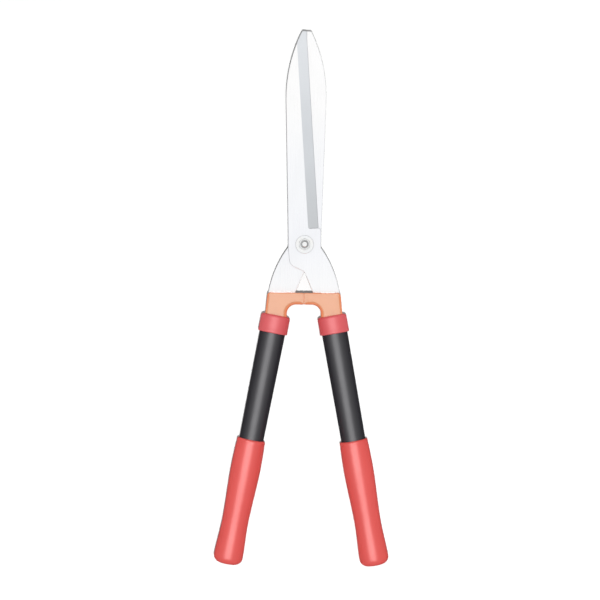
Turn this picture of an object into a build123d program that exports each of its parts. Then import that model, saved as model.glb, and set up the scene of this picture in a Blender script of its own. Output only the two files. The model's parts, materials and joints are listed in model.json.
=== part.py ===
from build123d import *
import os
from math import hypot, radians, sqrt, tan

# Two-handed grass shears, closed and lying flat. All lengths are in millimetres.
# The origin is on the pivot axis, in the plane where the two blades slide over each other.
# +Z runs up the pivot bolt to its nut, +Y runs to the blades' tip, +X to the right-hand handle.
# The left half is the right half turned over about Y, so that its blade lies under the other.
# Distances along a handle are measured down its own axis, from the top face of its ferrule.

# Fits
fit_gap = 0.05  # radial clearance of a round part in its hole, and of the tang in its slot
overrun = 2.0  # how far a cutting shape reaches past the face that it cuts
touching = 0.01  # how near to a plane an edge lies to count as on it

# Blades
blade_thickness = 3.5
tip_y = 220.5
tip_width = 4.6  # one blade's share of the blunt tip
tip_corner_radius = 1.6
belly_drop = 70.5  # how far below the tip the blade is widest
belly_half_width = 20.85
bulge_drop = 31.9  # the back's curve passes this point between the widest place and the tip
bulge_half_width = 16.4
neck_half_width = 17.0
neck_top_y = 8.0
neck_bottom_y = -3.0
edge_start_y = 17.0
edge_start_x = 14.2
edge_end_drop = 6.5  # how far below the tip the cutting edge ends
edge_end_x = 0.1  # how far each cutting edge passes the middle at the tip
heel_drop = 1.5  # height of the small step between cutting edge and neck
bevel_width = 10.7
bevel_corner_radius = 2.0
edge_land = 0.6  # thickness left at the cutting edge
blade_chamfer = 0.35
lobe_corner = (-15.0, -21.0)
lobe_radius = 8.0
crotch = (0.1, -28.0)
crotch_radius = 6.0
shoulder_inner_x = 9.3
shoulder_outer_x = 36.9
shoulder_bulge = (28.4, -22.5)

# Handle axis and tang
handle_lean = 10.55  # degrees from the blades' middle line
handle_x = 24.45
shoulder_y = -50.0  # the ferrules' top faces, where the blades' shoulders rest
tang_width = 14.0
tang_length = 70.0
tang_root = 8.0  # how far the tang reaches up into the blade's shoulder
rivet_radius = 2.5
rivet_places = (31.0, 38.5)

# Ferrules, which meet face to face and stop the shears as they close
ferrule_thickness = 21.0
ferrule_width = 37.6
ferrule_side_lean = 5.5
seam_height = 12.0
arch_half_width = 17.6
arch_radius = 9.6
ferrule_edge_radius = 2.5
ferrule_top_corner_radius = 3.0
seam_corner_radius = 0.8

# Collars
collar_start = 23.4
collar_length = 18.8
collar_wall = 1.9
collar_lip = 2.0
collar_lip_gap = 1.67  # clearance between the lip's bore and the tang's corners
collar_top_radius = 2.0
collar_bottom_radius = 1.5

# Tubes
tube_top_radius = 13.35
tube_taper = 0.0064  # radius lost for each millimetre of length
tube_wall = 1.2

# Grips
grip_start = 152.6
grip_length = 131.8
grip_mouth_wall = 2.16
grip_swell_place = 34.0  # distance from the grip's mouth
grip_swell_wall = 3.08
grip_waist_place = 43.8  # distance from the grip's end
grip_waist_wall = 1.68
grip_heel_place = 10.8  # distance from the grip's end
grip_heel_wall = 3.29
grip_end_wall = 3.2
grip_end_thickness = 4.5
grip_mouth_rounding = 1.0
grip_end_rounding = 7.0

# Tang sockets and tube plugs
socket_length = 50.0
plug_head_thickness = 2.5
plug_depth = 16.0
plug_wall = 2.0

# Pivot
shoulder_radius = 4.5
bolt_head_radius = 9.5
bolt_head_height = 3.2
bolt_head_rim = 0.9
bolt_radius = 3.175
bolt_point_chamfer = 0.75
bolt_stand_out = 0.7
shoulder_recess = 0.3  # the shoulder stops short of the front face, so that the nut clamps
washer_radius = 9.5
washer_thickness = 1.6
washer_rounding = 0.7
washer_gap = 0.2
nut_across_flats = 11.1
nut_height = 5.8
nut_chamfer_slope = 1.8  # run over rise of the chamfer on the nut's top corners
lock_ring_radius = 4.3
lock_ring_height = 1.6

# Sizes that follow from the ones above
belly_y = tip_y - belly_drop
edge_end_y = tip_y - edge_end_drop
collar_radius = tube_top_radius + fit_gap + collar_wall
collar_lip_bore_radius = hypot(tang_width / 2, blade_thickness) + collar_lip_gap
tube_start = collar_start + collar_lip
collar_end = collar_start + collar_length
grip_end = grip_start + grip_length
plug_end = grip_end - grip_end_thickness
tube_end = plug_end - plug_head_thickness
washer_top = blade_thickness + washer_thickness
nut_top = washer_top + nut_height
bolt_top = nut_top + bolt_stand_out
neck_side = 2 * shoulder_radius

# The right half lies as drawn, and the left half is the same half turned over about Y
halves = {
    "right": Plane.XY,
    "left": Plane(origin=(0, 0, 0), x_dir=(-1, 0, 0), z_dir=(0, 0, -1)),
}

os.makedirs("parts", exist_ok=True)


def save(part, name):
    """Label a finished piece and write it to its own file."""
    part.label = name
    export_step(part, f"parts/{name}.step")


def handle_plane(seat):
    """The plane of one handle: local Y runs down its axis, local Z is its half's own up."""
    turn = Location((handle_x, shoulder_y, 0), (0, 0, 180 + handle_lean))
    return Plane(seat.location * turn)


def handle_axis(seat):
    """The centre line of one handle."""
    handle = handle_plane(seat)
    return Axis(handle.origin, handle.y_dir)


def tube_radius(distance):
    """The tapered tube's outer radius at a distance down the handle."""
    return tube_top_radius - tube_taper * (distance - tube_start)


def bore_radius(distance):
    """The tapered tube's inner radius at a distance down the handle."""
    return tube_radius(distance) - tube_wall


def corner_near(sketch, point):
    """The sketch's corner nearest to a point."""
    return sketch.vertices().sort_by_distance(point)[0]


def make_grind(seat):
    """The wedge that is ground off a blade's outer face along its cutting edge."""
    start = seat.from_local_coords(Vector(edge_start_x, edge_start_y, 0))
    end = seat.from_local_coords(Vector(edge_end_x, edge_end_y, 0))
    run = end - start
    inward = seat.z_dir.cross(run)
    length = run.length + tip_y - edge_end_y + overrun
    rise = (blade_thickness - edge_land) / bevel_width
    outside = edge_land - overrun * rise
    above = blade_thickness + overrun
    with BuildPart() as grind:
        with BuildSketch(Plane(start, x_dir=inward, z_dir=run)):
            Polygon(
                (bevel_width, blade_thickness),
                (-overrun, outside),
                (-overrun, above),
                (bevel_width, above),
                align=None,
            )
        extrude(amount=length)
        with BuildSketch(Plane(start, x_dir=run, z_dir=seat.z_dir)) as reach:
            with Locations((0, -overrun)):
                Rectangle(length, bevel_width + overrun, align=(Align.MIN, Align.MIN))
            fillet(corner_near(reach, (0, bevel_width)), bevel_corner_radius)
        extrude(amount=above, mode=Mode.INTERSECT)
    return grind.part


def make_rivet_drills(seat):
    """The two round cutters for the rivet holes across a handle's top end."""
    with BuildPart() as drills:
        with BuildSketch(handle_plane(seat)):
            with Locations(*[(0, place) for place in rivet_places]):
                Circle(rivet_radius + fit_gap)
        extrude(amount=collar_radius, both=True)
    return drills.part


def make_blade(seat, square_hole):
    """One blade with its shoulder and tang, lying on its half's own XY plane."""
    grind = make_grind(seat)
    drills = make_rivet_drills(seat)
    handle = handle_plane(seat)
    with BuildPart() as blade:
        with BuildSketch(seat) as outline:
            with BuildLine():
                Polyline(
                    (-tip_width, tip_y),
                    (edge_end_x, tip_y),
                    (edge_end_x, edge_end_y),
                    (edge_start_x, edge_start_y),
                    (neck_half_width, edge_start_y - heel_drop),
                    (neck_half_width, neck_bottom_y),
                )
                ThreePointArc(
                    (neck_half_width, neck_bottom_y),
                    shoulder_bulge,
                    (shoulder_outer_x, shoulder_y),
                )
                Polyline(
                    (shoulder_outer_x, shoulder_y),
                    (shoulder_inner_x, shoulder_y),
                    crotch,
                    lobe_corner,
                    (-neck_half_width, neck_bottom_y),
                    (-neck_half_width, neck_top_y),
                    (-belly_half_width, belly_y),
                )
                ThreePointArc(
                    (-belly_half_width, belly_y),
                    (-bulge_half_width, tip_y - bulge_drop),
                    (-tip_width, tip_y),
                )
            make_face()
            fillet(corner_near(outline, lobe_corner), lobe_radius)
            fillet(corner_near(outline, crotch), crotch_radius)
            fillet(corner_near(outline, (-tip_width, tip_y)), tip_corner_radius)
        extrude(amount=blade_thickness)
        outer_face = blade.faces().sort_by(Axis(seat.origin, seat.z_dir))[-1]
        chamfer(outer_face.outer_wire().edges(), blade_chamfer)
        with BuildSketch(handle):
            with Locations((0, -tang_root)):
                Rectangle(tang_width, tang_root + tang_length, align=(Align.CENTER, Align.MIN))
        extrude(amount=blade_thickness)
        add(grind, mode=Mode.SUBTRACT)
        with BuildSketch(seat):
            if square_hole:
                Rectangle(neck_side + 2 * fit_gap, neck_side + 2 * fit_gap)
            else:
                Circle(shoulder_radius + fit_gap)
        extrude(amount=blade_thickness, mode=Mode.SUBTRACT)
        add(drills, mode=Mode.SUBTRACT)
    return blade.part


def make_ferrule(seat):
    """One cushioned ferrule: the stop between the handles, with half of the arch under it."""
    handle = handle_plane(seat)
    collar_face = Plane(handle.from_local_coords(Vector(0, collar_start, 0)), z_dir=handle.y_dir)
    seam_bottom_y = shoulder_y - seam_height
    arch_low_y = seam_bottom_y - arch_radius
    skirt_y = shoulder_y - 2 * collar_start
    skirt_width = ferrule_width + (shoulder_y - skirt_y) * tan(radians(ferrule_side_lean))
    with BuildPart() as ferrule:
        with BuildSketch(seat) as face:
            with BuildLine():
                Polyline(
                    (arch_half_width - arch_radius, seam_bottom_y),
                    (0, seam_bottom_y),
                    (0, shoulder_y),
                    (ferrule_width, shoulder_y),
                    (skirt_width, skirt_y),
                    (arch_half_width, skirt_y),
                    (arch_half_width, arch_low_y),
                )
                RadiusArc(
                    (arch_half_width, arch_low_y),
                    (arch_half_width - arch_radius, seam_bottom_y),
                    -arch_radius,
                )
            make_face()
            fillet(corner_near(face, (ferrule_width, shoulder_y)), ferrule_top_corner_radius)
            fillet(corner_near(face, (0, seam_bottom_y)), seam_corner_radius)
        extrude(amount=ferrule_thickness / 2, both=True)
        flats = ferrule.faces().filter_by(Axis.Z)
        seam_side = flats.edges().filter_by_position(Axis.X, -touching, touching)
        fillet(flats.edges() - seam_side, ferrule_edge_radius)
        split(bisect_by=collar_face, keep=Keep.BOTTOM)
        with BuildSketch(handle.offset(-fit_gap)):
            Rectangle(tang_width + 2 * fit_gap, 2 * tang_length)
        extrude(amount=blade_thickness + 2 * fit_gap, mode=Mode.SUBTRACT)
    return ferrule.part


def make_collar(seat):
    """The ring that covers a tube's top end and its rivets, with a lip under the ferrule."""
    with BuildPart() as collar:
        with BuildSketch(handle_plane(seat)) as profile:
            Polygon(
                (collar_lip_bore_radius, collar_start),
                (collar_radius, collar_start),
                (collar_radius, collar_end),
                (tube_radius(collar_end) + fit_gap, collar_end),
                (tube_radius(tube_start) + fit_gap, tube_start),
                (collar_lip_bore_radius, tube_start),
                align=None,
            )
            fillet(corner_near(profile, (collar_radius, collar_start)), collar_top_radius)
            fillet(corner_near(profile, (collar_radius, collar_end)), collar_bottom_radius)
        revolve(axis=handle_axis(seat))
    return collar.part


def make_tube(seat):
    """One tapered handle tube, from under the collar to inside the grip's end."""
    drills = make_rivet_drills(seat)
    with BuildPart() as tube:
        with BuildSketch(handle_plane(seat)):
            Polygon(
                (bore_radius(tube_start), tube_start),
                (tube_radius(tube_start), tube_start),
                (tube_radius(tube_end), tube_end),
                (bore_radius(tube_end), tube_end),
                align=None,
            )
        revolve(axis=handle_axis(seat))
        add(drills, mode=Mode.SUBTRACT)
    return tube.part


def make_tang_socket(seat):
    """The plug in a tube's top end that grips the tang."""
    handle = handle_plane(seat)
    drills = make_rivet_drills(seat)
    socket_end = tube_start + socket_length
    with BuildPart() as socket:
        with BuildSketch(handle):
            Polygon(
                (0, tube_start),
                (bore_radius(tube_start) - fit_gap, tube_start),
                (bore_radius(socket_end) - fit_gap, socket_end),
                (0, socket_end),
                align=None,
            )
        revolve(axis=handle_axis(seat))
        with BuildSketch(handle.offset(-fit_gap)):
            Rectangle(tang_width + 2 * fit_gap, 2 * (tang_length + fit_gap))
        extrude(amount=blade_thickness + 2 * fit_gap, mode=Mode.SUBTRACT)
        add(drills, mode=Mode.SUBTRACT)
    return socket.part


def make_tang_rivets(seat):
    """The two flush rivets through a tube, its socket and the tang."""
    handle = handle_plane(seat)
    with BuildPart() as rivets:
        for place in rivet_places:
            with BuildSketch(handle):
                with Locations((0, place)):
                    Circle(rivet_radius)
            extrude(amount=sqrt(tube_radius(place) ** 2 - rivet_radius**2), both=True)
    return rivets.part


def make_tube_plug(seat):
    """The cap in a tube's lower end, which keeps the tube's rim from cutting the grip."""
    with BuildPart() as plug:
        with BuildSketch(handle_plane(seat)):
            body_radius = bore_radius(tube_end) - fit_gap
            Polygon(
                (0, plug_end),
                (tube_radius(plug_end), plug_end),
                (tube_radius(plug_end), tube_end),
                (body_radius, tube_end),
                (body_radius, tube_end - plug_depth),
                (body_radius - plug_wall, tube_end - plug_depth),
                (body_radius - plug_wall, tube_end),
                (0, tube_end),
                align=None,
            )
        revolve(axis=handle_axis(seat))
    return plug.part


def make_grip(seat):
    """One grip, swollen at both ends and waisted between them, closed at its lower end."""
    swell = grip_start + grip_swell_place
    waist = grip_end - grip_waist_place
    heel = grip_end - grip_heel_place
    mouth_corner = (tube_radius(grip_start) + grip_mouth_wall, grip_start)
    end_corner = (tube_radius(grip_end) + grip_end_wall, grip_end)
    with BuildPart() as grip:
        with BuildSketch(handle_plane(seat)) as profile:
            with BuildLine():
                Polyline(
                    end_corner,
                    (0, grip_end),
                    (0, plug_end),
                    (tube_radius(plug_end) + fit_gap, plug_end),
                    (tube_radius(grip_start) + fit_gap, grip_start),
                    mouth_corner,
                )
                Spline(
                    mouth_corner,
                    (tube_radius(swell) + grip_swell_wall, swell),
                    (tube_radius(waist) + grip_waist_wall, waist),
                    (tube_radius(heel) + grip_heel_wall, heel),
                    end_corner,
                )
            make_face()
            fillet(corner_near(profile, mouth_corner), grip_mouth_rounding)
            fillet(corner_near(profile, end_corner), grip_end_rounding)
        revolve(axis=handle_axis(seat))
    return grip.part


def make_pivot_bolt():
    """The pivot bolt: domed head below, square neck, round shoulder and threaded end above."""
    neck_top = -shoulder_recess
    shoulder_top = blade_thickness - shoulder_recess
    crown = -blade_thickness - bolt_head_height
    rim = -blade_thickness - bolt_head_rim
    with BuildPart() as bolt:
        with BuildSketch(Plane.XZ):
            with BuildLine():
                ThreePointArc((-bolt_head_radius, rim), (0, crown), (bolt_head_radius, rim))
                Polyline(
                    (bolt_head_radius, rim),
                    (bolt_head_radius, -blade_thickness),
                    (-bolt_head_radius, -blade_thickness),
                    (-bolt_head_radius, rim),
                )
            make_face()
            split(bisect_by=Plane.YZ)
        revolve(axis=Axis.Z)
        with BuildSketch(Plane.XY.offset(-blade_thickness)):
            Rectangle(neck_side, neck_side)
        extrude(amount=blade_thickness + neck_top)
        with BuildSketch(Plane.XY.offset(neck_top)):
            Circle(shoulder_radius)
        extrude(amount=shoulder_top - neck_top)
        with BuildSketch(Plane.XY.offset(shoulder_top)):
            Circle(bolt_radius)
        extrude(amount=bolt_top - shoulder_top)
        point = bolt.faces().sort_by(Axis.Z)[-1]
        chamfer(point.edges(), bolt_point_chamfer)
    return bolt.part


def make_washer():
    """The round washer between the upper blade and the nut."""
    with BuildPart() as washer:
        with BuildSketch(Plane.XY.offset(blade_thickness)):
            Circle(washer_radius)
            Circle(bolt_radius + washer_gap, mode=Mode.SUBTRACT)
        extrude(amount=washer_thickness)
        top = washer.faces().sort_by(Axis.Z)[-1]
        fillet(top.outer_wire().edges(), washer_rounding)
    return washer.part


def make_nut():
    """The hexagonal lock nut, with corners chamfered on top and a seat for its lock ring."""
    corner_radius = nut_across_flats / sqrt(3)
    cut = corner_radius - nut_across_flats / 2
    with BuildPart() as nut:
        with BuildSketch(Plane.XY.offset(washer_top)):
            RegularPolygon(nut_across_flats / 2, 6, major_radius=False, rotation=30)
        extrude(amount=nut_height)
        with BuildSketch(Plane.XZ):
            Polygon(
                (0, washer_top),
                (corner_radius, washer_top),
                (corner_radius, nut_top - cut),
                (corner_radius - nut_chamfer_slope * cut, nut_top),
                (0, nut_top),
                align=None,
            )
        revolve(axis=Axis.Z, mode=Mode.INTERSECT)
        with BuildSketch(Plane.XY.offset(washer_top)):
            Circle(bolt_radius + fit_gap)
        extrude(amount=nut_height, mode=Mode.SUBTRACT)
        with BuildSketch(Plane.XY.offset(nut_top - lock_ring_height)):
            Circle(lock_ring_radius + fit_gap)
        extrude(amount=lock_ring_height, mode=Mode.SUBTRACT)
    return nut.part


def make_lock_ring():
    """The soft ring in the nut's top that keeps the nut from turning."""
    with BuildPart() as ring:
        with BuildSketch(Plane.XY.offset(nut_top - lock_ring_height)):
            Circle(lock_ring_radius)
            Circle(bolt_radius + fit_gap, mode=Mode.SUBTRACT)
        extrude(amount=lock_ring_height)
    return ring.part


save(make_blade(halves["right"], square_hole=False), "front_blade")
save(make_blade(halves["left"], square_hole=True), "rear_blade")
save(make_pivot_bolt(), "pivot_bolt")
save(make_washer(), "front_washer")
save(make_nut(), "pivot_nut")
save(make_lock_ring(), "nut_lock_ring")
for hand, half in halves.items():
    save(make_ferrule(half), f"{hand}_ferrule")
    save(make_collar(half), f"{hand}_collar")
    save(make_tube(half), f"{hand}_tube")
    save(make_tang_socket(half), f"{hand}_tang_socket")
    save(make_tang_rivets(half), f"{hand}_tang_rivets")
    save(make_tube_plug(half), f"{hand}_tube_plug")
    save(make_grip(half), f"{hand}_grip")
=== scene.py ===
import json
import logging
import math
from dataclasses import dataclass, field
from enum import Enum
from typing import Callable, Iterable, Sequence

import bmesh
import bpy
from mathutils import Matrix, Vector


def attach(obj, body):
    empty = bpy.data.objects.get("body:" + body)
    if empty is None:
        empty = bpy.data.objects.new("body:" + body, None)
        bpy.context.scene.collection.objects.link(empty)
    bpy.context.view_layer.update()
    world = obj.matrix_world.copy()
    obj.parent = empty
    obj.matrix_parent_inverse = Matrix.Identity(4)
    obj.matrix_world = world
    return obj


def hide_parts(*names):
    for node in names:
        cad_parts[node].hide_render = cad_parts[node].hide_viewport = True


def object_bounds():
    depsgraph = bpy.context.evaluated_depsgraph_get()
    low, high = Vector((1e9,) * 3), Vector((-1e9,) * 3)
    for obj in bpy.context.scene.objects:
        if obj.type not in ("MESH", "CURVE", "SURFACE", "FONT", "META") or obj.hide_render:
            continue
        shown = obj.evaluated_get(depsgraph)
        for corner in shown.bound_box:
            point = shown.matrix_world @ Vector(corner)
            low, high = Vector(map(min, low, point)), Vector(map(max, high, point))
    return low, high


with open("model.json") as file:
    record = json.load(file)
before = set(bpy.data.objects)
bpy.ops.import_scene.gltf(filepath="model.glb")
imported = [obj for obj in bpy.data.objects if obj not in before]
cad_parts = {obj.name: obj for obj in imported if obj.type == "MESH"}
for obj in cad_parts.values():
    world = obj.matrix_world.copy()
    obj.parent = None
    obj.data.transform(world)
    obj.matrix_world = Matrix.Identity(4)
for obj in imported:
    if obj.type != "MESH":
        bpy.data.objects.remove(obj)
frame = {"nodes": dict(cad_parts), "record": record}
CAD_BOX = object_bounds()

log = logging.getLogger("shears")

Colour = tuple[float, float, float]
Point = tuple[float, float, float]
Spot = tuple[float, float]  # distance along a turned piece's axis, and radius there
Ring = Callable[[float], Spot]  # a spot for each angle round the axis

MM = 0.001
POINT_RADIUS = 1e-7  # a ring smaller than this is a single point
ON_LINE = 1e-6  # an angle whose sine is smaller than this lies on a parting line


class Hand(Enum):
    """The two halves of the shears, named after the hand that holds them."""

    LEFT = "left"
    RIGHT = "right"

    @property
    def side(self) -> int:
        """+1 for the right half, -1 for the left half."""
        return 1 if self is Hand.RIGHT else -1

    @property
    def body(self) -> str:
        """The moving body that this half's pieces ride on."""
        return "upper_half" if self is Hand.RIGHT else "lower_half"

    def node(self, piece: str) -> str:
        """The frame's node of one of this half's pieces."""
        return f"{self.value}_{piece}"


class NodeBench:
    """A short way to lay out the nodes of one material."""

    def __init__(self, name: str) -> None:
        """Start a material with an empty node tree.

        Args:
            name: the material's name.
        """
        self.material = bpy.data.materials.new(name)
        self.material.use_nodes = True
        self.tree = self.material.node_tree
        self.tree.nodes.clear()
        self.output = self.tree.nodes.new("ShaderNodeOutputMaterial")

    def feed(self, socket: bpy.types.NodeSocket, value: object) -> None:
        """Set an input, or link it if the value is another node's output.

        Args:
            socket: the input.
            value: a plain value or an output socket.
        """
        if isinstance(value, bpy.types.NodeSocket):
            self.tree.links.new(value, socket)
        elif socket.type == "RGBA":
            socket.default_value = (*value, 1.0)
        else:
            socket.default_value = value

    def add(self, kind: str, **inputs: object) -> bpy.types.Node:
        """Add a node and fill its inputs.

        Args:
            kind: the node's type, without its "ShaderNode" prefix.
            **inputs: values or output sockets, by input name with underscores for spaces.

        Returns:
            The new node.
        """
        node = self.tree.nodes.new("ShaderNode" + kind)
        for name, value in inputs.items():
            self.feed(node.inputs[name.replace("_", " ")], value)
        return node

    def math(self, operation: str, *values: object) -> bpy.types.NodeSocket:
        """Add a maths node.

        Args:
            operation: Blender's name of the operation.
            *values: one to three numbers or output sockets.

        Returns:
            The result's socket.
        """
        node = self.tree.nodes.new("ShaderNodeMath")
        node.operation = operation
        for socket, value in zip(node.inputs, values):
            self.feed(socket, value)
        return node.outputs[0]

    def split(self, output: str) -> Sequence[bpy.types.NodeSocket]:
        """The X, Y and Z of one of the piece's own coordinates.

        Args:
            output: "Object" for places on the piece, "Normal" for its surface's direction.

        Returns:
            The three sockets.
        """
        return self.add("SeparateXYZ", Vector=self.add("TexCoord").outputs[output]).outputs

    def place(self, scale: Point = (1.0, 1.0, 1.0)) -> bpy.types.NodeSocket:
        """Coordinates on the piece itself, stretched along each axis.

        Args:
            scale: the stretch along X, Y and Z.

        Returns:
            The coordinates' socket.
        """
        where = self.add("TexCoord").outputs["Object"]
        return self.add("Mapping", Vector=where, Scale=scale).outputs["Vector"]

    def noise(self, vector: bpy.types.NodeSocket, scale: float, detail: float = 3.0,
              roughness: float = 0.5) -> bpy.types.NodeSocket:
        """A noise pattern.

        Args:
            vector: the coordinates.
            scale: how fine the pattern is.
            detail: how many octaves it has.
            roughness: how strong the fine octaves are.

        Returns:
            The pattern's value socket.
        """
        node = self.add("TexNoise", Vector=vector, Scale=scale, Detail=detail, Roughness=roughness)
        return node.outputs["Fac"]

    def spread(self, value: bpy.types.NodeSocket, low: float, high: float,
               start: float = 0.3, end: float = 0.7) -> bpy.types.NodeSocket:
        """Map a value from one range to another, held at the ends.

        Args:
            value: the socket to map.
            low: the result where the value is start.
            high: the result where the value is end.
            start: the value's low end.
            end: the value's high end.

        Returns:
            The result's socket.
        """
        node = self.add("MapRange", Value=value, From_Min=start, From_Max=end, To_Min=low, To_Max=high)
        return node.outputs["Result"]

    def blend(self, share: object, first: object, second: object) -> bpy.types.NodeSocket:
        """Mix two colours.

        Args:
            share: how much of the second colour shows.
            first: a colour or its socket.
            second: a colour or its socket.

        Returns:
            The mixed colour's socket.
        """
        node = self.tree.nodes.new("ShaderNodeMix")
        node.data_type = "RGBA"
        colours = [socket for socket in node.inputs if socket.type == "RGBA"]
        self.feed(node.inputs[0], share)
        self.feed(colours[0], first)
        self.feed(colours[1], second)
        return next(socket for socket in node.outputs if socket.type == "RGBA")

    def ramp(self, value: bpy.types.NodeSocket,
             stops: Sequence[tuple[float, Colour]]) -> bpy.types.NodeSocket:
        """A colour that changes smoothly between stops.

        Args:
            value: where on the ramp, from 0 to 1.
            stops: the places of the colours and the colours.

        Returns:
            The colour's socket.
        """
        node = self.add("ValToRGB", Fac=value)
        node.color_ramp.interpolation = "EASE"
        for index, (position, colour) in enumerate(stops):
            elements = node.color_ramp.elements
            element = elements[index] if index < 2 else elements.new(position)
            element.position = position
            element.color = (*colour, 1.0)
        return node.outputs["Color"]

    def shade(self, colour: bpy.types.NodeSocket, factor: bpy.types.NodeSocket) -> bpy.types.NodeSocket:
        """A colour made darker or paler by a factor.

        Args:
            colour: the colour's socket.
            factor: the factor's socket.

        Returns:
            The result's socket.
        """
        node = self.add("VectorMath")
        node.operation = "SCALE"
        self.feed(node.inputs[0], colour)
        self.feed(node.inputs["Scale"], factor)
        return node.outputs[0]

    def bump(self, height: bpy.types.NodeSocket, strength: float, distance: float) -> bpy.types.NodeSocket:
        """A bumped normal.

        Args:
            height: the pattern that is raised.
            strength: how much of the bump shows.
            distance: how high it is, in metres.

        Returns:
            The normal's socket.
        """
        return self.add("Bump", Height=height, Strength=strength, Distance=distance).outputs["Normal"]

    def finish(self, shader: bpy.types.Node) -> bpy.types.Material:
        """Connect the surface and hand the material over.

        Args:
            shader: the node that shades the surface.

        Returns:
            The finished material.
        """
        self.tree.links.new(shader.outputs[0], self.output.inputs["Surface"])
        return self.material


@dataclass(frozen=True)
class GroundSteel:
    """Bright blade steel: lengthwise polish on the flats, cross grinding on the bevels, with a painted
    reflection that makes the bevels darker than the flats and changes both from tang to tip.
    """

    tang_end: float = -0.05
    tip: float = 0.22
    # painted reflection: the flats' tone dips near the pivot and grows lighter towards the tip
    flat_painted_reflection_stops: tuple[tuple[float, Colour], ...] = (
        (0.0, (0.955, 0.96, 0.97)),
        (0.22, (0.915, 0.925, 0.955)),
        (0.45, (0.935, 0.945, 0.965)),
        (0.75, (0.985, 0.985, 0.985)),
    )
    # painted reflection: the bevels are painted much darker than the flats, and lighter towards the tip
    bevel_painted_reflection_stops: tuple[tuple[float, Colour], ...] = (
        (0.25, (0.61, 0.63, 0.65)),
        (0.55, (0.695, 0.72, 0.75)),
        (0.95, (0.80, 0.825, 0.855)),
    )
    flat_roughness: float = 0.30
    bevel_roughness: float = 0.38
    flat_tilt: Spot = (0.975, 0.99)  # upward part of the normal, from bevel to flat
    side_tilt: Spot = (0.90, 0.94)  # the same, from chamfer to bevel
    worn_edge: float = 1.1 * MM
    polish_grain: Point = (1400.0, 18.0, 1400.0)
    grind_grain: Point = (30.0, 1500.0, 30.0)
    cloud_grain: Point = (1.0, 0.5, 1.0)
    cloud_scale: float = 60.0
    streak: float = 0.015
    uneven_gloss: float = 0.04
    scratch_strength: float = 0.2
    scratch_depth: float = 0.01 * MM

    def material(self) -> bpy.types.Material:
        """The blades' node material.

        Returns:
            The material.
        """
        bench = NodeBench("ground_blade_steel")
        upright = bench.math("ABSOLUTE", bench.split("Normal")[2])
        below_flat = bench.spread(upright, 1.0, 0.0, *self.flat_tilt)
        above_side = bench.spread(upright, 0.0, 1.0, *self.side_tilt)
        bevel = bench.math("MULTIPLY", below_flat, above_side)
        along = bench.spread(bench.split("Object")[1], 0.0, 1.0, self.tang_end, self.tip)
        polish = bench.noise(bench.place(self.polish_grain), 1.0, 4.0)
        grind = bench.noise(bench.place(self.grind_grain), 1.0, 4.0)
        cloud = bench.noise(bench.place(self.cloud_grain), self.cloud_scale)
        lines = bench.add("Mix", Factor=bevel, A=polish, B=grind).outputs["Result"]
        # painted reflection: the colour blends the flats' and bevels' painted reflection ramps along the
        # blade
        tone = bench.blend(bevel, bench.ramp(along, self.flat_painted_reflection_stops), bench.ramp(along, self.bevel_painted_reflection_stops))
        streaks, clouds = (bench.spread(pattern, 1 - self.streak, 1 + self.streak)
                           for pattern in (lines, cloud))
        shade = bench.math("MULTIPLY", streaks, clouds)
        rough = bench.math("ADD", bench.spread(bevel, self.flat_roughness, self.bevel_roughness, 0.0, 1.0),
                           bench.spread(lines, -self.uneven_gloss, self.uneven_gloss))
        worn = bench.add("Bevel", Radius=self.worn_edge).outputs["Normal"]
        scratched = bench.add("Bump", Height=lines, Strength=self.scratch_strength,
                              Distance=self.scratch_depth, Normal=worn).outputs["Normal"]
        shader = bench.add("BsdfPrincipled", Base_Color=bench.shade(tone, shade), Metallic=1.0,
                           Roughness=rough, Normal=scratched)
        return bench.finish(shader)


@dataclass(frozen=True)
class Moulding:
    """A moulded or coated skin: one colour with a faint flow pattern and a fine grain."""

    name: str
    base: Colour
    roughness: float
    grain_scale: float = 1800.0
    grain_height: float = 0.00002
    specular: float = 0.5
    tint_spread: float = 0.03
    flow_grain: Point = (1.0, 0.35, 1.0)
    flow_scale: float = 38.0
    patch_scale: float = 55.0
    uneven_gloss: float = 0.02
    grain_strength: float = 0.3

    def colour(self, bench: NodeBench) -> bpy.types.NodeSocket:
        """The skin's colour with its flow pattern.

        Args:
            bench: the material that is being laid out.

        Returns:
            The colour's socket.
        """
        flow = bench.noise(bench.place(self.flow_grain), self.flow_scale, 4.0, 0.6)
        pale = tuple(channel * (1 + self.tint_spread) for channel in self.base)
        deep = tuple(channel * (1 - self.tint_spread) for channel in self.base)
        return bench.blend(bench.spread(flow, 0.0, 1.0), deep, pale)

    def material(self) -> bpy.types.Material:
        """The skin's node material.

        Returns:
            The material.
        """
        bench = NodeBench(self.name)
        patches = bench.noise(bench.place(), self.patch_scale)
        grain = bench.noise(bench.place(), self.grain_scale, 2.0)
        uneven = self.uneven_gloss
        rough = bench.math("ADD", bench.spread(patches, self.roughness - uneven, self.roughness + uneven),
                           bench.spread(grain, -uneven, uneven))
        shader = bench.add("BsdfPrincipled", Base_Color=self.colour(bench), Roughness=rough,
                           Specular_IOR_Level=self.specular,
                           Normal=bench.bump(grain, self.grain_strength, self.grain_height))
        return bench.finish(shader)


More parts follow.
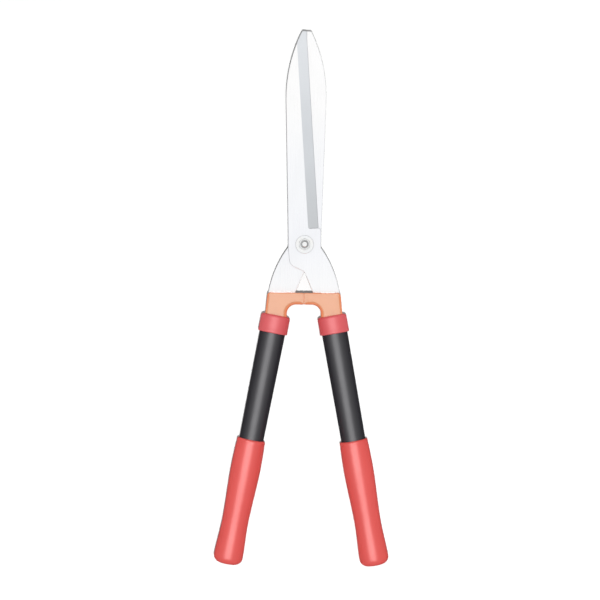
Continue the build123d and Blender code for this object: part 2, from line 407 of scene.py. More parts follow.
@dataclass(frozen=True)
class CushionMoulding(Moulding):
    """The ferrules' soft moulding, with painted light that makes its rounded edges a brighter orange and
    painted shade that deepens it near the closing face.
    """

    # painted light: the rounded edges' brighter, stronger orange
    edge: Colour = (0.88, 0.265, 0.11)
    painted_light_edge_tilt: Spot = (0.80, 0.985)  # upward part of the normal, from edge to flat
    # painted shade: how dark the colour grows at the closing face, and how far from it this reaches
    seam_painted_shade: float = 0.95
    seam_painted_shade_reach: float = 6.0 * MM

    def colour(self, bench: NodeBench) -> bpy.types.NodeSocket:
        """The skin's colour, with painted shade near the closing face and painted light on the edges.

        Args:
            bench: the material that is being laid out.

        Returns:
            The colour's socket.
        """
        from_seam = bench.math("ABSOLUTE", bench.split("Object")[0])
        # painted shade that deepens the colour towards the closing face
        painted_seam_shade = bench.spread(from_seam, self.seam_painted_shade, 1.0, 0.0, self.seam_painted_shade_reach)
        upright = bench.math("ABSOLUTE", bench.split("Normal")[2])
        # painted light on the rounded edges, by how far the surface tilts from flat
        flatness = bench.spread(upright, 0.0, 1.0, *self.painted_light_edge_tilt)
        return bench.shade(bench.blend(flatness, self.edge, super().colour(bench)), painted_seam_shade)


@dataclass(frozen=True)
class BrightZinc:
    """Zinc plate on the bolt, nut and washer: bright, faintly mottled, with turning marks."""

    base: Colour = (0.925, 0.93, 0.93)
    warmth: Colour = (1.0, 0.995, 0.98)
    coolness: Colour = (0.97, 0.985, 1.0)
    roughness: float = 0.24
    gloss_spread: Spot = (-0.06, 0.08)
    mottle_scale: float = 420.0
    cloud_scale: float = 160.0
    turning_scale: float = 900.0
    turning_wobble: float = 0.4
    turning_strength: float = 0.12
    turning_depth: float = 0.01 * MM

    def material(self) -> bpy.types.Material:
        """The plated hardware's node material.

        Returns:
            The material.
        """
        bench = NodeBench("bright_zinc_plate")
        mottle = bench.noise(bench.place(), self.mottle_scale, 4.0, 0.6)
        cloud = bench.noise(bench.place(), self.cloud_scale, 2.0)
        warm, cool = (tuple(channel * share for channel, share in zip(self.base, tint))
                      for tint in (self.warmth, self.coolness))
        rings = bench.add("TexWave", Vector=bench.place(), Scale=self.turning_scale,
                          Distortion=self.turning_wobble)
        rings.wave_type = "RINGS"
        rings.rings_direction = "Z"
        plate = bench.blend(bench.spread(cloud, 0.0, 1.0), warm, cool)
        rough = bench.spread(mottle, *(self.roughness + step for step in self.gloss_spread))
        turned = bench.bump(rings.outputs["Fac"], self.turning_strength, self.turning_depth)
        shader = bench.add("BsdfPrincipled", Base_Color=plate, Metallic=1.0, Roughness=rough, Normal=turned)
        return bench.finish(shader)


@dataclass(frozen=True)
class PlainSteel:
    """The rivets' plain drawn steel."""

    base: Colour = (0.55, 0.55, 0.56)
    dulling: float = 0.8
    grain_scale: float = 700.0
    roughness: Spot = (0.3, 0.5)

    def material(self) -> bpy.types.Material:
        """The rivets' node material.

        Returns:
            The material.
        """
        bench = NodeBench("plain_rivet_steel")
        grain = bench.noise(bench.place(), self.grain_scale, 4.0)
        dull = tuple(channel * self.dulling for channel in self.base)
        shader = bench.add("BsdfPrincipled", Base_Color=bench.blend(grain, self.base, dull), Metallic=1.0,
                           Roughness=bench.spread(grain, *self.roughness))
        return bench.finish(shader)


FINISHES = {
    "blade_steel": GroundSteel(),
    "zinc_steel": BrightZinc(),
    "rivet_steel": PlainSteel(),
    "nylon": Moulding("smoke_grey_nylon", (0.46, 0.465, 0.47), 0.42),
    "orange_rubber": CushionMoulding("orange_soft_moulding", (0.56, 0.215, 0.082), 0.42, specular=0.62),
    "red_plastic": Moulding("red_moulded_plastic", (0.68, 0.088, 0.098), 0.50),
    "black_paint": Moulding("black_satin_enamel", (0.020, 0.019, 0.024), 0.42, 2600.0),
    "red_vinyl": Moulding("red_soft_vinyl", (0.73, 0.078, 0.068), 0.34),
}


@dataclass
class PaintShop:
    """Makes each finish once and puts it on nodes and pieces."""

    made: dict[str, bpy.types.Material] = field(default_factory=dict)
    slots: dict[str, str] = field(
        default_factory=lambda: {part["node"]: part["material_slot"] for part in frame["record"]["subparts"]})

    def coat(self, piece: bpy.types.Object, slot: str) -> None:
        """Put one finish on one object.

        Args:
            piece: the object.
            slot: the record's material slot.
        """
        if slot not in self.made:
            self.made[slot] = FINISHES[slot].material()
        piece.data.materials.clear()
        piece.data.materials.append(self.made[slot])

    def dress_nodes(self, names: Iterable[str]) -> None:
        """Put the right finish on some of the frame's own nodes.

        Args:
            names: the nodes' names.
        """
        for name in names:
            self.coat(frame["nodes"][name], self.slots[name])
            log.info("dressed %s in %s", name, self.slots[name])

    def fit(self, piece: bpy.types.Object, node: str, body: str) -> None:
        """Let a modelled piece stand for one node, in that node's finish.

        Args:
            piece: the modelled piece.
            node: the node that it stands for.
            body: the moving body that it rides on.
        """
        self.coat(piece, self.slots[node])
        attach(piece, body)
        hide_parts(node)
        log.info("fitted %s for %s on %s", piece.name, node, body)


def plain(distance: float, radius: float) -> Ring:
    """A round ring at one distance.

    Args:
        distance: how far along the axis.
        radius: its radius.

    Returns:
        The ring.
    """
    return lambda angle: (distance, radius)


def plain_rings(outline: Iterable[Spot]) -> list[Ring]:
    """Round rings through the spots of an outline."""
    return [plain(*spot) for spot in outline]


def corner(distance: float, radius: float, rounding: float, start: float, end: float,
           steps: int = 6) -> list[Spot]:
    """Spots round a rounded corner of an outline.

    Args:
        distance: the rounding's centre, along the axis.
        radius: the rounding's centre, from the axis.
        rounding: its own radius.
        start: its first direction in degrees, where 0 points outwards and 90 along the axis.
        end: its last direction.
        steps: how many parts it is drawn in.

    Returns:
        The spots.
    """
    turns = [math.radians(start + (end - start) * step / steps) for step in range(steps + 1)]
    return [(distance + rounding * math.sin(turn), radius + rounding * math.cos(turn)) for turn in turns]


def bridge(mesh_maker: bmesh.types.BMesh, near: list, far: list) -> None:
    """Join two rows of corners with faces.

    Args:
        mesh_maker: the mesh.
        near: the first row.
        far: the next row.
    """
    count = max(len(near), len(far))
    for step in range(count):
        after = (step + 1) % count
        if len(near) == 1:
            mesh_maker.faces.new((near[0], far[step], far[after]))
        elif len(far) == 1:
            mesh_maker.faces.new((near[step], far[0], near[after]))
        else:
            mesh_maker.faces.new((near[step], far[step], far[after], near[after]))


def make_piece(mesh_maker: bmesh.types.BMesh, name: str, sharp_angle: float) -> bpy.types.Object:
    """Make a smooth piece from a mesh, with its hard bends kept sharp.

    Args:
        mesh_maker: the mesh, which is used up.
        name: the piece's name.
        sharp_angle: the bend from which an edge stays sharp.

    Returns:
        The piece.
    """
    bmesh.ops.recalc_face_normals(mesh_maker, faces=mesh_maker.faces[:])
    mesh = bpy.data.meshes.new(name)
    mesh_maker.to_mesh(mesh)
    mesh_maker.free()
    mesh.shade_smooth()
    mesh.set_sharp_from_angle(angle=sharp_angle)
    piece = bpy.data.objects.new(name, mesh)
    bpy.context.scene.collection.objects.link(piece)
    return piece


@dataclass(frozen=True)
class Lathe:
    """Turns an outline about its axis into a closed mesh, with a parting line on each side if asked."""

    segments: int = 96
    parting_height: float = 0.0
    parting_spread: float = math.radians(0.9)
    sharp_angle: float = math.radians(32)

    def angles(self) -> list[float]:
        """The angles of the mesh's long lines, closer together beside a parting line.

        Returns:
            The angles in radians, rising.
        """
        angles = {2 * math.pi * step / self.segments for step in range(self.segments)}
        if self.parting_height:
            for line in (0.0, math.pi):
                angles |= {(line + way * self.parting_spread) % (2 * math.pi) for way in (-1, 1)}
        return sorted(angles)

    def lift(self, angle: float) -> float:
        """How far the surface is raised at an angle, which is only on the parting lines."""
        return self.parting_height if abs(math.sin(angle)) < ON_LINE else 0.0

    def turn(self, name: str, rings: Sequence[Ring], place: Matrix, closed: bool = False) -> bpy.types.Object:
        """Make the turned piece.

        Args:
            name: the piece's name.
            rings: its rings in order. One whose radius is nothing is a single point.
            place: where its axis lies. The axis is the place's own Z.
            closed: whether the last ring joins the first, as in a ring-shaped piece.

        Returns:
            The piece.
        """
        mesh_maker = bmesh.new()
        angles = self.angles()
        rows = []
        for ring in rings:
            spots = [ring(angle) for angle in angles]
            if max(radius for _, radius in spots) < POINT_RADIUS:
                rows.append([mesh_maker.verts.new(place @ Vector((0.0, 0.0, spots[0][0])))])
                continue
            row = []
            for angle, (distance, radius) in zip(angles, spots):
                reach = radius + (self.lift(angle) if not closed else 0.0)
                spot = Vector((reach * math.cos(angle), reach * math.sin(angle), distance))
                row.append(mesh_maker.verts.new(place @ spot))
            rows.append(row)
        pairs = list(zip(rows, rows[1:]))
        if closed:
            pairs.append((rows[-1], rows[0]))
        for near, far in pairs:
            bridge(mesh_maker, near, far)
        return make_piece(mesh_maker, name, self.sharp_angle)


@dataclass(frozen=True)
class HandleLine:
    """Where one handle lies: a straight axis from the top of its ferrule."""

    hand: Hand
    lean: float = math.radians(10.55)
    foot_x: float = 24.45 * MM
    foot_y: float = -50.0 * MM

    def place(self, distance: float) -> Matrix:
        """The place at a distance down the handle.

        Args:
            distance: from the ferrule's top, down the axis.

        Returns:
            A matrix whose Z runs down the handle and whose X lies across it in the blades' plane.
        """
        side = self.hand.side
        down = Vector((side * math.sin(self.lean), -math.cos(self.lean), 0.0))
        across = Vector((side * math.cos(self.lean), math.sin(self.lean), 0.0))
        turned = Matrix((across, down.cross(across), down)).transposed().to_4x4()
        foot = Vector((side * self.foot_x, self.foot_y, 0.0)) + down * distance
        return Matrix.Translation(foot) @ turned


@dataclass(frozen=True)
class Grip:
    """A soft vinyl grip with a rolled mouth, a waist and a rounded, dished end."""

    start: float = 154.1 * MM
    length: float = 130.3 * MM
    mouth_radius: float = 14.5 * MM
    swell: Spot = (32.5 * MM, 15.25 * MM)
    waist: Spot = (86.5 * MM, 13.5 * MM)
    heel: Spot = (119.5 * MM, 14.9 * MM)
    end_radius: float = 14.75 * MM
    mouth_rounding: float = 1.9 * MM
    lip_groove: Spot = (4.6 * MM, 0.2 * MM)  # its distance from the mouth, and its depth
    lip_groove_width: float = 1.5 * MM
    end_rounding: float = 7.0 * MM
    end_dish: float = 0.5 * MM
    nib_radius: float = 1.6 * MM
    bore_radius: float = 12.59 * MM
    bore_taper: float = 0.0064
    bore_depth: float = 125.8 * MM
    parting_height: float = 0.12 * MM
    rows: int = 72
    row_crowding: float = 1.6  # above 1, rows stand closer together near the mouth
    dish_share: float = 0.8
    nib_taper: float = 0.8

    def body_radius(self, distance: float) -> float:
        """The smooth outer radius at a distance from the mouth.

        Args:
            distance: down the grip, from its mouth.

        Returns:
            The radius.
        """
        knots = [(0.0, self.mouth_radius), self.swell, self.waist, self.heel, (self.length, self.end_radius)]
        slopes = [(after[1] - before[1]) / (after[0] - before[0])
                  for before, after in zip([knots[0]] + knots[:-1], knots[1:] + [knots[-1]])]
        index = max(i for i in range(len(knots) - 1) if i == 0 or knots[i][0] <= distance)
        (low, low_radius), (high, high_radius) = knots[index], knots[index + 1]
        span = high - low
        t = (distance - low) / span
        return (low_radius * (1 + 2 * t) * (1 - t) ** 2 + high_radius * t * t * (3 - 2 * t)
                + span * (slopes[index] * t * (1 - t) ** 2 - slopes[index + 1] * t * t * (1 - t)))

    def outline(self) -> list[Spot]:
        """The grip's outline, from the bottom of its bore round the mouth to its end.

        Returns:
            The spots, in distances from the mouth.
        """
        bore_end = self.bore_radius - self.bore_taper * self.bore_depth
        spots = [(self.bore_depth, 0.0), (self.bore_depth, bore_end),
                 (self.mouth_rounding / 2, self.bore_radius)]
        spots += corner(self.mouth_rounding, self.mouth_radius - self.mouth_rounding,
                        self.mouth_rounding, -90, 0)
        body_end = self.length - self.end_rounding
        for row in range(1, self.rows):
            share = (row / self.rows) ** self.row_crowding
            distance = self.mouth_rounding + (body_end - self.mouth_rounding) * share
            off_groove = (distance - self.lip_groove[0]) / self.lip_groove_width
            groove = self.lip_groove[1] * math.exp(-off_groove ** 2)
            spots.append((distance, self.body_radius(distance) - groove))
        shoulder = self.body_radius(body_end) - self.end_rounding
        spots += corner(body_end, shoulder, self.end_rounding, 0, 90, 12)
        dish, nib = self.length - self.end_dish, self.length - self.end_dish / 3
        spots += [(dish, shoulder * self.dish_share), (dish, self.nib_radius),
                  (nib, self.nib_radius * self.nib_taper), (nib, 0.0)]
        return spots

    def build(self, line: HandleLine) -> bpy.types.Object:
        """Make the grip on its handle.

        Args:
            line: the handle's axis.

        Returns:
            The grip.
        """
        lathe = Lathe(parting_height=self.parting_height)
        rings = plain_rings(self.outline())
        return lathe.turn(f"{line.hand.value}_vinyl_grip", rings, line.place(self.start))


@dataclass(frozen=True)
class Collar:
    """A moulded collar over the tube's end, with rounded shoulders and a fine bead at its lower rim."""

    start: float = 23.4 * MM
    length: float = 18.8 * MM
    radius: float = 15.3 * MM
    bead_length: float = 2.6 * MM
    bead_height: float = 0.15 * MM
    lip: float = 2.0 * MM
    lip_bore: float = 9.5 * MM
    bore_radius: float = 13.4 * MM
    bore_end_radius: float = 13.29 * MM
    top_rounding: float = 3.0 * MM
    rim_rounding: float = 1.3 * MM

    def outline(self) -> list[Spot]:
        """The collar's outline, round from the inner edge of its lip.

        Returns:
            The spots, in distances from its top.
        """
        body = self.radius - self.bead_height
        bead_top = self.length - self.bead_length
        spots = [(self.lip, self.lip_bore), (0.0, self.lip_bore)]
        spots += corner(self.top_rounding, body - self.top_rounding, self.top_rounding, -90, 0, 8)
        spots += [(self.length / 2, body), (bead_top - 2 * self.bead_height, body), (bead_top, self.radius)]
        spots += corner(self.length - self.rim_rounding, self.radius - self.rim_rounding,
                        self.rim_rounding, 0, 90, 8)
        spots += [(self.length, self.bore_end_radius), (self.lip, self.bore_radius)]
        return spots

    def build(self, line: HandleLine) -> bpy.types.Object:
        """Make the collar on its handle.

        Args:
            line: the handle's axis.

        Returns:
            The collar.
        """
        rings = plain_rings(self.outline())
        return Lathe().turn(f"{line.hand.value}_moulded_collar", rings, line.place(self.start), closed=True)


@dataclass(frozen=True)
class RimSpot:
    """A spot on a slab's rim: its place, which way the rim faces there, and how far its edges are rounded."""

    x: float
    y: float
    facing: float  # in degrees from +X
    rounding: float


@dataclass(frozen=True)
class Ferrule:
    """A cushioned ferrule: half of the closing stop, with half of the arch under it.

    It is drawn for the right hand. The left one is the same, turned over.
    """

    top_y: float = -50.0 * MM
    half_thickness: float = 10.5 * MM
    width: float = 37.6 * MM
    side_lean: float = 5.5  # degrees
    seam_height: float = 12.0 * MM
    arch_half_width: float = 17.6 * MM
    arch_radius: float = 9.6 * MM
    top_corner: float = 3.0 * MM
    seam_corner: float = 1.1 * MM
    arch_rounding: float = 4.2 * MM
    side_rounding: float = 3.0 * MM
    top_rounding: float = 0.9 * MM
    seam_rounding: float = 0.35 * MM
    collar_start: float = 23.4 * MM
    flat_reach: float = 1.4  # where the arch's flat top is held, in arch radii in from its side
    steps: int = 8
    arch_steps: int = 24
    sharp_angle: float = math.radians(35)

    def bend(self, centre: Spot, radius: float, start: float, end: float, roundings: Spot,
             hollow: bool = False) -> list[RimSpot]:
        """Spots round a bend of the rim.

        Args:
            centre: the bend's centre.
            radius: its radius.
            start: its first direction from the centre, in degrees.
            end: its last direction.
            roundings: how far the edges are rounded at its start and its end.
            hollow: whether the material is outside the bend, so that the rim faces its centre.

        Returns:
            The spots.
        """
        count = self.arch_steps if hollow else self.steps
        spots = []
        for step in range(count + 1):
            share = step / count
            turn = start + (end - start) * share
            x = centre[0] + radius * math.cos(math.radians(turn))
            y = centre[1] + radius * math.sin(math.radians(turn))
            rounding = roundings[0] + (roundings[1] - roundings[0]) * share
            spots.append(RimSpot(x, y, turn + 180 if hollow else turn, rounding))
        return spots

    def rim(self, line: HandleLine) -> list[RimSpot]:
        """The ferrule's rim, from the bottom of its seam up, round its side and back along the arch.

        Args:
            line: the right handle's axis, which the collar's face lies across.

        Returns:
            The spots, clockwise.
        """
        seam_bottom = self.top_y - self.seam_height
        collar = line.place(self.collar_start)
        across, middle = collar.col[0].xyz, collar.translation
        slope = math.tan(math.radians(self.side_lean))
        side_reach = ((self.width + (self.top_y - middle.y) * slope - middle.x)
                      / (across.x + across.y * slope))
        arch_reach = (self.arch_half_width - middle.x) / across.x
        side_end, arch_end = middle + across * side_reach, middle + across * arch_reach
        lean = math.degrees(line.lean)
        corner_x = self.width - self.top_corner * (1 - slope)
        seam_centre = (self.seam_corner, seam_bottom + self.seam_corner)
        bend = (self.arch_half_width - self.arch_radius, seam_bottom - self.arch_radius)
        spots = self.bend(seam_centre, self.seam_corner, 270, 180,
                          (self.arch_rounding / 2, self.seam_rounding))
        spots.append(RimSpot(0.0, self.top_y - self.top_rounding, 180, self.seam_rounding))
        spots.append(RimSpot(self.seam_rounding, self.top_y, 90, self.top_rounding))
        spots.append(RimSpot(corner_x - self.top_corner, self.top_y, 90, self.top_rounding))
        spots += self.bend((corner_x, self.top_y - self.top_corner), self.top_corner, 90, self.side_lean,
                           (self.top_rounding, self.side_rounding))
        spots.append(RimSpot(side_end.x, side_end.y, lean, self.side_rounding))
        spots.append(RimSpot(arch_end.x, arch_end.y, 180 + lean, self.arch_rounding))
        spots += self.bend(bend, self.arch_radius, 0, 90, (self.arch_rounding, self.arch_rounding),
                           hollow=True)
        flat_x = self.arch_half_width - self.arch_radius * self.flat_reach
        spots.append(RimSpot(flat_x, seam_bottom, 270, self.arch_rounding))
        return spots

    def build(self, hand: Hand) -> bpy.types.Object:
        """Make the ferrule.

        Args:
            hand: the handle that it sits on.

        Returns:
            The ferrule.
        """
        turned = Matrix.Identity(4) if hand is Hand.RIGHT else Matrix.Rotation(math.pi, 4, "Y")
        rim = self.rim(HandleLine(Hand.RIGHT))
        levels = [math.pi / 2 * step / self.steps for step in range(self.steps + 1)]
        mesh_maker = bmesh.new()
        rows = []
        for side, turns in ((1, levels), (-1, levels[::-1])):
            for turn in turns:
                row = []
                for spot in rim:
                    inset = spot.rounding * (1 - math.sin(turn))
                    x = spot.x - inset * math.cos(math.radians(spot.facing))
                    y = spot.y - inset * math.sin(math.radians(spot.facing))
                    height = self.half_thickness - spot.rounding * (1 - math.cos(turn))
                    row.append(mesh_maker.verts.new(turned @ Vector((x, y, side * height))))
                rows.append(row)
        for near, far in zip(rows, rows[1:]):
            bridge(mesh_maker, near, far)
        mesh_maker.faces.new(rows[0])
        mesh_maker.faces.new(rows[-1])
        return make_piece(mesh_maker, f"{hand.value}_cushioned_ferrule", self.sharp_angle)


@dataclass
class Handle:
    """One handle: ferrule, collar, tube and grip, with the pieces inside the tube."""

    hand: Hand
    grip: Grip = Grip()
    collar: Collar = Collar()
    ferrule: Ferrule = Ferrule()
    kept: tuple[str, ...] = ("tube", "tang_socket", "tang_rivets", "tube_plug")

    def build(self, shop: PaintShop) -> list[bpy.types.Object]:
        """Make and dress the handle.

        Args:
            shop: where the finishes come from.

        Returns:
            Its outer pieces, which are all moulded or painted.
        """
        line = HandleLine(self.hand)
        grip = self.grip.build(line)
        collar = self.collar.build(line)
        shop.fit(grip, self.hand.node("grip"), self.hand.body)
        shop.fit(collar, self.hand.node("collar"), self.hand.body)
        ferrule = self.ferrule.build(self.hand)
        shop.fit(ferrule, self.hand.node("ferrule"), self.hand.body)
        shop.dress_nodes(self.hand.node(piece) for piece in self.kept)
        return [grip, collar, ferrule, frame["nodes"][self.hand.node("tube")]]


@dataclass
class BladePair:
    """The two ground blades, whose shapes come straight from the frame."""

    nodes: tuple[str, ...] = ("front_blade", "rear_blade")

    def build(self, shop: PaintShop) -> None:
        """Dress the blades."""
        shop.dress_nodes(self.nodes)


@dataclass(frozen=True)
class Pivot:
    """The pivot's bolt, washer, lock nut and lock ring. Heights are from the plane between the blades."""

    body: str = "lower_half"
    blade: float = 3.5 * MM
    head_radius: float = 9.5 * MM
    head_height: float = 3.2 * MM
    head_rim: float = 0.9 * MM
    head_rounding: float = 0.35 * MM
    neck_half: float = 4.5 * MM
    neck_corner: float = 6.1 * MM
    shoulder_radius: float = 4.5 * MM
    shoulder_recess: float = 0.3 * MM
    bolt_radius: float = 3.175 * MM
    bolt_top: float = 11.6 * MM
    point_chamfer: float = 0.75 * MM
    thread_pitch: float = 1.25 * MM
    thread_depth: float = 0.45 * MM
    thread_rows: int = 84
    washer_radius: float = 9.5 * MM
    washer_bore: float = 3.375 * MM
    washer_top: float = 5.1 * MM
    washer_rounding: float = 0.8 * MM
    nut_half_flats: float = 5.55 * MM
    nut_top: float = 10.9 * MM
    nut_crown_radius: float = 5.35 * MM
    nut_crown_slope: float = 0.55
    nut_bore: float = 3.225 * MM
    seat_radius: float = 4.35 * MM
    seat_depth: float = 1.6 * MM
    ring_radius: float = 4.3 * MM
    ring_rounding: float = 0.35 * MM
    fine_edge: float = 0.15 * MM
    dome_rows: int = 14
    nut_segments: int = 144
    nut_sharp_angle: float = math.radians(20)

    def neck(self, height: float) -> Ring:
        """A square ring with rounded corners, for the bolt's neck.

        Args:
            height: where the ring is.

        Returns:
            The ring.
        """
        def spot(angle: float) -> Spot:
            reach = self.neck_half / max(abs(math.cos(angle)), abs(math.sin(angle)))
            return height, min(reach, self.neck_corner)
        return spot

    def thread(self, height: float) -> Ring:
        """A ring of the bolt's screw thread.

        Args:
            height: where the ring is.

        Returns:
            The ring.
        """
        def spot(angle: float) -> Spot:
            turn = 2 * math.pi * height / self.thread_pitch - angle
            point = max(0.0, height - (self.bolt_top - self.point_chamfer))
            crest = self.bolt_radius - self.thread_depth * (0.5 - 0.5 * math.cos(turn))
            return height, min(crest, self.bolt_radius - point)
        return spot

    def hexagon(self, height: float, crowned: bool) -> Ring:
        """A six-sided ring of the nut, which falls away at the corners where it is crowned.

        Args:
            height: where the ring is on the flats.
            crowned: whether its corners are turned down.

        Returns:
            The ring.
        """
        def spot(angle: float) -> Spot:
            sixth = math.pi / 3
            off_flat = (angle + sixth / 2) % sixth - sixth / 2
            reach = self.nut_half_flats / math.cos(off_flat)
            drop = max(0.0, reach - self.nut_crown_radius) * self.nut_crown_slope if crowned else 0.0
            return height - drop, reach
        return spot

    def bolt(self) -> bpy.types.Object:
        """The bolt: domed head below, square neck, round shoulder and threaded end.

        Returns:
            The bolt.
        """
        crown = -self.blade - self.head_height
        dome = self.head_height - self.head_rim
        sphere = (self.head_radius ** 2 + dome ** 2) / (2 * dome)
        reach = math.asin((self.head_radius - self.head_rounding) / sphere)
        turns = [reach * step / self.dome_rows for step in range(self.dome_rows + 1)]
        head = [(crown + sphere * (1 - math.cos(turn)), sphere * math.sin(turn)) for turn in turns]
        head += corner(-self.blade - self.head_rim + self.head_rounding,
                       self.head_radius - self.head_rounding, self.head_rounding, -60, 0, 5)
        head += [(-self.blade - self.fine_edge, self.head_radius),
                 (-self.blade, self.head_radius - self.fine_edge)]
        shoulder_top = self.blade - self.shoulder_recess
        rings = plain_rings(head)
        rings += [self.neck(-self.blade), self.neck(-self.shoulder_recess)]
        rings += plain_rings([(-self.shoulder_recess, self.shoulder_radius),
                              (shoulder_top, self.shoulder_radius)])
        length = self.bolt_top - shoulder_top
        rings += [self.thread(shoulder_top + length * row / self.thread_rows)
                  for row in range(self.thread_rows + 1)]
        rings += plain_rings([(self.bolt_top, self.bolt_radius - self.point_chamfer - self.fine_edge),
                              (self.bolt_top, 0.0)])
        return Lathe().turn("threaded_pivot_bolt", rings, Matrix.Identity(4))

    def washer(self) -> bpy.types.Object:
        """The round washer with its rolled outer edge.

        Returns:
            The washer.
        """
        spots = [(self.blade, self.washer_bore), (self.blade, self.washer_radius - self.fine_edge),
                 (self.blade + self.fine_edge, self.washer_radius)]
        spots += corner(self.washer_top - self.washer_rounding, self.washer_radius - self.washer_rounding,
                        self.washer_rounding, 0, 90, 8)
        spots += [(self.washer_top, self.washer_bore + self.fine_edge),
                  (self.washer_top - self.fine_edge, self.washer_bore)]
        return Lathe().turn("rolled_edge_washer", plain_rings(spots), Matrix.Identity(4), closed=True)

    def nut(self) -> bpy.types.Object:
        """The six-sided lock nut with its crowned top and the seat of its ring.

        Returns:
            The nut.
        """
        seat = self.nut_top - self.seat_depth
        rings = [plain(self.washer_top, self.nut_bore),
                 plain(self.washer_top, self.nut_half_flats - self.fine_edge),
                 self.hexagon(self.washer_top + 2 * self.fine_edge, False),
                 self.hexagon(self.nut_top - self.fine_edge, True),
                 plain(self.nut_top, self.nut_crown_radius - self.fine_edge),
                 plain(self.nut_top, self.seat_radius + self.fine_edge),
                 plain(self.nut_top - self.fine_edge, self.seat_radius), plain(seat, self.seat_radius),
                 plain(seat, self.nut_bore)]
        turned = Matrix.Rotation(math.pi / 3, 4, "Z")
        lathe = Lathe(segments=self.nut_segments, sharp_angle=self.nut_sharp_angle)
        return lathe.turn("hexagon_lock_nut", rings, turned, closed=True)

    def lock_ring(self) -> bpy.types.Object:
        """The soft ring in the nut's top.

        Returns:
            The ring.
        """
        seat = self.nut_top - self.seat_depth
        spots = [(seat, self.nut_bore), (seat, self.ring_radius)]
        spots += corner(self.nut_top - self.ring_rounding, self.ring_radius - self.ring_rounding,
                        self.ring_rounding, 0, 90, 5)
        spots += [(self.nut_top, self.nut_bore + self.fine_edge),
                  (self.nut_top - self.fine_edge, self.nut_bore)]
        return Lathe().turn("soft_lock_ring", plain_rings(spots), Matrix.Identity(4), closed=True)

    def build(self, shop: PaintShop) -> None:
        """Make and dress the pivot's four pieces.

        Args:
            shop: where the finishes come from.
        """
        shop.fit(self.bolt(), "pivot_bolt", self.body)
        shop.fit(self.washer(), "front_washer", self.body)
        shop.fit(self.nut(), "pivot_nut", self.body)
        shop.fit(self.lock_ring(), "nut_lock_ring", self.body)


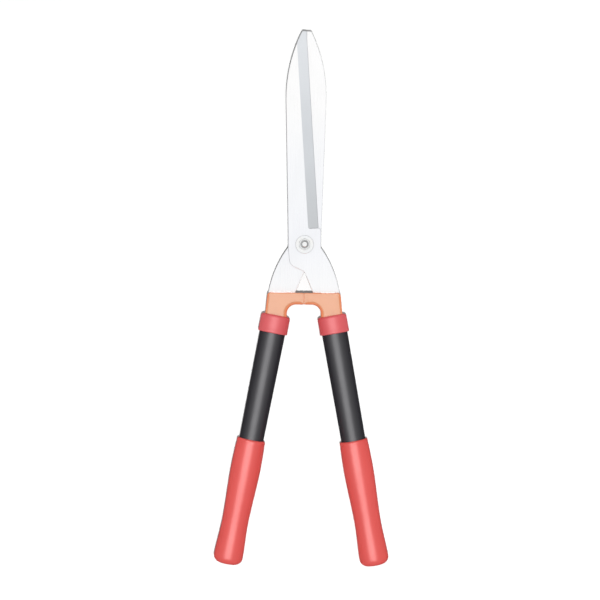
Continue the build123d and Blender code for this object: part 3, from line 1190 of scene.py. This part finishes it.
@dataclass
class Studio:
    """Floor, lamps, sky and camera. The shears lie on a white floor with the camera above them."""

    sky_light: float = 0.93
    sky_zenith: float = 1.0
    sky_horizon: float = 0.30
    sky_climb: Spot = (0.1, 0.75)  # upward part of the direction, from horizon to zenith
    floor_tone: float = 0.25
    floor_level: float = 1.16  # how bright the lit floor is, where 1 is white
    floor_glow: float = 0.10  # the camera's share of floor that shadows don't reach
    key_light: float = 0.12
    key_spread: float = math.radians(30)
    key_side: Point = (0.15, 0.1, 1.0)
    strip_size: Spot = (1.4, 1.7)
    strip_radiance: float = 5.5
    strip_place: Point = (-0.18, -0.05, 1.45)
    flash_offset: Spot = (32.0 * MM, -150.0 * MM)  # from the camera
    flash_size: float = 25.0 * MM
    glow_start: float = 0.40  # how far out the floor's own glow takes over from the flash
    glow_end: float = 0.70
    floor_gap: float = 0.2 * MM
    card_tone: float = 0.05
    card_mottle: float = 1.2
    card_fibres: float = 200.0
    card_half: float = 0.6
    floor_mottle: float = 1.01
    floor_fibres: float = 300.0
    floor_half: float = 4.0
    sensor_width: float = 36.0
    camera_height: float = 1.5
    lens: float = 87.1
    view_point: Spot = (-4.1 * MM, -57.3 * MM)
    roll: float = math.radians(-0.64)

    def build(self, moulded: Sequence[bpy.types.Object]) -> None:
        """Make the whole studio.

        Args:
            moulded: the moulded and painted pieces, which the strip lamp shines on.
        """
        self.sky()
        floor = self.sheet("floor", self.floor_half, -self.floor_gap, self.floor_paper())
        self.low_card()
        self.lamps(floor, moulded)
        self.camera()

    def sky(self) -> None:
        """A white room that grows darker towards its horizon in reflections."""
        world = bpy.data.worlds.new("white_room")
        bpy.context.scene.world = world
        world.use_nodes = True
        tree = world.node_tree
        tree.nodes.clear()
        add = tree.nodes.new
        direction = add("ShaderNodeTexCoord").outputs["Generated"]
        parts = add("ShaderNodeSeparateXYZ")
        tree.links.new(direction, parts.inputs[0])
        climb = add("ShaderNodeMapRange")
        for name, value in {"From Min": self.sky_climb[0], "From Max": self.sky_climb[1],
                            "To Min": self.sky_horizon, "To Max": self.sky_zenith}.items():
            climb.inputs[name].default_value = value
        tree.links.new(parts.outputs["Z"], climb.inputs["Value"])
        path = add("ShaderNodeLightPath")
        glossy = add("ShaderNodeMix")
        glossy.inputs[2].default_value = self.sky_light
        tree.links.new(path.outputs["Is Glossy Ray"], glossy.inputs[0])
        tree.links.new(climb.outputs["Result"], glossy.inputs[3])
        seen = add("ShaderNodeMath")
        seen.operation = "MAXIMUM"
        tree.links.new(path.outputs["Is Camera Ray"], seen.inputs[0])
        tree.links.new(path.outputs["Is Transmission Ray"], seen.inputs[1])
        strength = add("ShaderNodeMix")
        strength.inputs[3].default_value = 1.0
        tree.links.new(seen.outputs[0], strength.inputs[0])
        tree.links.new(glossy.outputs[0], strength.inputs[2])
        background = add("ShaderNodeBackground")
        background.inputs["Color"].default_value = (1.0, 1.0, 1.0, 1.0)
        tree.links.new(strength.outputs[0], background.inputs["Strength"])
        tree.links.new(background.outputs[0], add("ShaderNodeOutputWorld").inputs["Surface"])

    def matt(self, bench: NodeBench, tone: float, mottle: float, fibres: float) -> bpy.types.Node:
        """A matt grey surface with faint fibres.

        Args:
            bench: the material that is being laid out.
            tone: its grey, from 0 to 1.
            mottle: how much paler the fibres are, as a factor.
            fibres: how fine they are.

        Returns:
            The node that shades it.
        """
        fibre = bench.noise(bench.place(), fibres)
        return bench.add("BsdfDiffuse", Color=bench.blend(fibre, (tone,) * 3, (tone * mottle,) * 3))

    def floor_paper(self) -> bpy.types.Material:
        """The floor's matt paper, which the camera sees with a little glow of its own.

        Returns:
            The material.
        """
        bench = NodeBench("floor_paper")
        paper = self.matt(bench, self.floor_tone, self.floor_mottle, self.floor_fibres)
        glow = bench.add("Emission", Color=(1.0, 1.0, 1.0), Strength=self.floor_level)
        camera = bench.add("LightPath").outputs["Is Camera Ray"]
        from_middle = bench.add("VectorMath")
        from_middle.operation = "LENGTH"
        bench.feed(from_middle.inputs[0], bench.place())
        share = bench.spread(from_middle.outputs["Value"], self.floor_glow, 1.0,
                             self.glow_start, self.glow_end)
        mix = bench.add("MixShader", Fac=bench.math("MULTIPLY", camera, share))
        bench.feed(mix.inputs[1], paper.outputs[0])
        bench.feed(mix.inputs[2], glow.outputs[0])
        return bench.finish(mix)

    def sheet(self, name: str, half: float, height: float,
              material: bpy.types.Material) -> bpy.types.Object:
        """A square sheet that lies flat near the bottom of the shears.

        Args:
            name: its name.
            half: half its side.
            height: its height above the shears' lowest point.
            material: its finish.

        Returns:
            The sheet.
        """
        mesh = bpy.data.meshes.new(name)
        corners = [(-half, -half, 0.0), (half, -half, 0.0), (half, half, 0.0), (-half, half, 0.0)]
        mesh.from_pydata(corners, [], [(0, 1, 2, 3)])
        mesh.materials.append(material)
        sheet = bpy.data.objects.new(name, mesh)
        sheet.location.z = CAD_BOX[0][2] + height
        bpy.context.scene.collection.objects.link(sheet)
        return sheet

    def low_card(self) -> None:
        """A dark card on the floor that only shows in reflections, to draw the rounded edges."""
        bench = NodeBench("dark_card")
        material = bench.finish(self.matt(bench, self.card_tone, self.card_mottle, self.card_fibres))
        card = self.sheet("low_card", self.card_half, -self.floor_gap / 2, material)
        card.visible_camera = False
        card.visible_diffuse = False
        card.visible_transmission = False
        card.visible_shadow = False

    def hang(self, data: bpy.types.Light, place: Point, target: Point,
             lit: Sequence[bpy.types.Object] = ()) -> bpy.types.Object:
        """Hang a lamp that looks at a point.

        Args:
            data: the lamp's light.
            place: where it hangs.
            target: where it looks.
            lit: the only objects that it lights, or nothing for all of them.

        Returns:
            The lamp.
        """
        lamp = bpy.data.objects.new(data.name, data)
        lamp.location = place
        aim = Vector(target) - Vector(place)
        lamp.rotation_euler = aim.to_track_quat("-Z", "Y").to_euler()
        lamp.visible_camera = False
        bpy.context.scene.collection.objects.link(lamp)
        if lit:
            group = bpy.data.collections.new(f"lit_by_{data.name}")
            for piece in lit:
                group.objects.link(piece)
            lamp.light_linking.receiver_collection = group
        return lamp

    def lamps(self, floor: bpy.types.Object, moulded: Sequence[bpy.types.Object]) -> None:
        """The floor's own lamp, a soft key a little from the right and the strip box above.

        Args:
            floor: the floor.
            moulded: the moulded and painted pieces.
        """
        flash = bpy.data.lights.new("floor_flash", "POINT")
        rest = self.floor_level / self.floor_tone - self.sky_light - self.key_light
        height = self.camera_height - floor.location.z
        flash.energy = 4 * math.pi ** 2 * height ** 2 * rest
        flash.shadow_soft_size = self.flash_size
        place = (self.view_point[0] + self.flash_offset[0], self.view_point[1] + self.flash_offset[1],
                 self.camera_height)
        self.hang(flash, place, (*self.view_point, 0.0), [floor])

        key = bpy.data.lights.new("soft_key", "SUN")
        key.energy = math.pi * self.key_light
        key.angle = self.key_spread
        self.hang(key, self.key_side, (0.0, 0.0, 0.0)).visible_glossy = False

        strip = bpy.data.lights.new("strip_box", "AREA")
        strip.shape = "RECTANGLE"
        strip.size, strip.size_y = self.strip_size
        strip.energy = self.strip_radiance * math.pi * strip.size * strip.size_y
        below = (*self.strip_place[:2], 0.0)
        self.hang(strip, self.strip_place, below, moulded).visible_diffuse = False

    def camera(self) -> None:
        """The camera, straight above the shears with their tip up."""
        data = bpy.data.cameras.new("camera")
        data.lens = self.lens
        data.sensor_width = self.sensor_width
        camera = bpy.data.objects.new("camera", data)
        camera.location = (*self.view_point, self.camera_height)
        camera.rotation_euler.z = -self.roll
        bpy.context.scene.collection.objects.link(camera)
        bpy.context.scene.camera = camera


def main() -> None:
    """Build the shears and the studio, and report each piece."""
    logging.basicConfig(level=logging.INFO, format="%(message)s")
    bpy.context.scene.view_settings.view_transform = "Standard"
    shop = PaintShop()
    BladePair().build(shop)
    Pivot().build(shop)
    moulded = [piece for hand in Hand for piece in Handle(hand).build(shop)]
    Studio().build(moulded)


if __name__ == "__main__":
    main()
